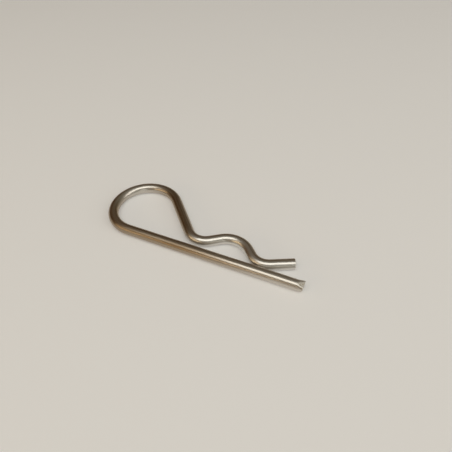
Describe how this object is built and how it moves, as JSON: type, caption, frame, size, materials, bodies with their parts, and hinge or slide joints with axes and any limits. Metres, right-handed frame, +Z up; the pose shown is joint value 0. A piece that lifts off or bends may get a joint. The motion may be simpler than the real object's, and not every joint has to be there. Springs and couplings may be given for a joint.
{
  "type": "hitch r clip pin",
  "caption": "Bent round wire R clip: a straight leg with a sheared end, a round bow and a humped spring leg with a flared tip, for retaining a cross-drilled shaft.",
  "frame": {"origin": "on the surface the clip lies on, under the middle of its outline", "axes": "+X along the straight leg to its cut end, +Y from the straight leg across to the humped leg, +Z up from the surface it lies on"},
  "size_m": [0.086, 0.03, 0.004],
  "materials": {
    "drawn_wire": "bright drawn spring wire with fine lines along its length"
  },
  "bodies": {
    "root": {"r_clip": "drawn_wire"}
  },
  "joints": []
}
